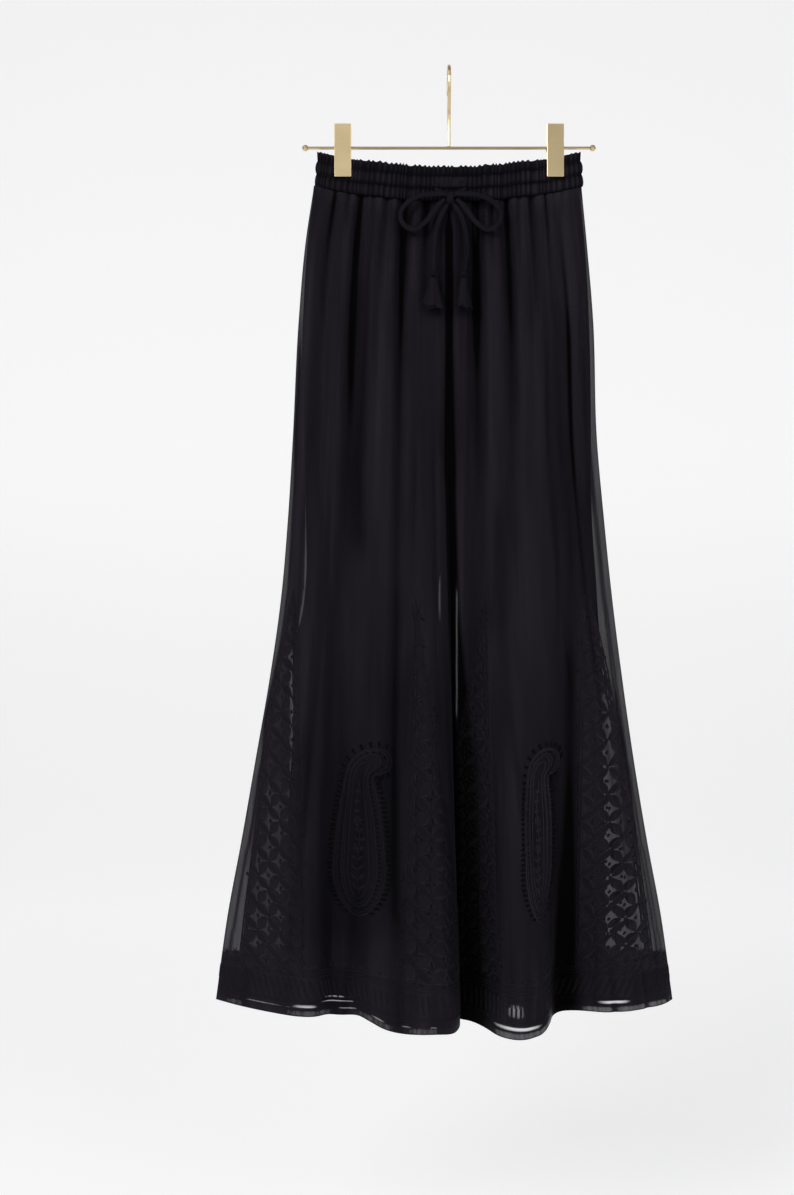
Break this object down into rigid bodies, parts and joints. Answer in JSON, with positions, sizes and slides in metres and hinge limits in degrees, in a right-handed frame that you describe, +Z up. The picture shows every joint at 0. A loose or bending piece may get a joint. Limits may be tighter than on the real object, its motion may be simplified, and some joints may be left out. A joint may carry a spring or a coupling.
{
  "type": "embroidered palazzo trousers on a clip hanger",
  "caption": "Black sheer palazzo trousers with a narrower lining, shirred drawstring waist, flared embroidered legs and hem borders, hung flat from a thin brass clip hanger.",
  "frame": {"origin": "the underside of the top of the hanger's hook, where a rail bears", "axes": "+Z up, the front of the garment faces -Y, the wearer's left is +X"},
  "size_m": [0.5272, 0.1816, 1.098],
  "materials": {
    "sheer_cloth": "sheer matt chiffon",
    "lining_cloth": "matt",
    "embroidery_thread": "soft sheen",
    "drawstring_cloth": "matt",
    "satin_brass": "satin"
  },
  "bodies": {
    "root": {"waistband_front": "sheer_cloth", "waistband_back": "sheer_cloth", "panel_front_right": "sheer_cloth", "panel_front_left": "sheer_cloth", "panel_back_right": "sheer_cloth", "panel_back_left": "sheer_cloth", "lining_front_right": "lining_cloth", "lining_front_left": "lining_cloth", "lining_back_right": "lining_cloth", "lining_back_left": "lining_cloth", "border_front_right": "embroidery_thread", "border_front_left": "embroidery_thread", "border_back_right": "embroidery_thread", "border_back_left": "embroidery_thread", "kali_outseam_front_right": "embroidery_thread", "kali_outseam_front_left": "embroidery_thread", "kali_outseam_back_right": "embroidery_thread", "kali_outseam_back_left": "embroidery_thread", "kali_inseam_front_right": "embroidery_thread", "kali_inseam_front_left": "embroidery_thread", "kali_inseam_back_right": "embroidery_thread", "kali_inseam_back_left": "embroidery_thread", "paisley_front_right": "embroidery_thread", "paisley_front_left": "embroidery_thread", "paisley_back_right": "embroidery_thread", "paisley_back_left": "embroidery_thread", "knot": "drawstring_cloth", "bow_loop_right": "drawstring_cloth", "bow_loop_left": "drawstring_cloth", "bow_tail_right": "drawstring_cloth", "bow_tail_left": "drawstring_cloth", "drawstring_right": "drawstring_cloth", "drawstring_left": "drawstring_cloth", "tassel_right": "drawstring_cloth", "tassel_left": "drawstring_cloth", "hanger_bar": "satin_brass", "hook": "satin_brass", "clip_front_right": "satin_brass", "clip_front_left": "satin_brass", "clip_back_right": "satin_brass", "clip_back_left": "satin_brass", "clip_collar_right": "satin_brass", "clip_collar_left": "satin_brass"}
  },
  "joints": []
}
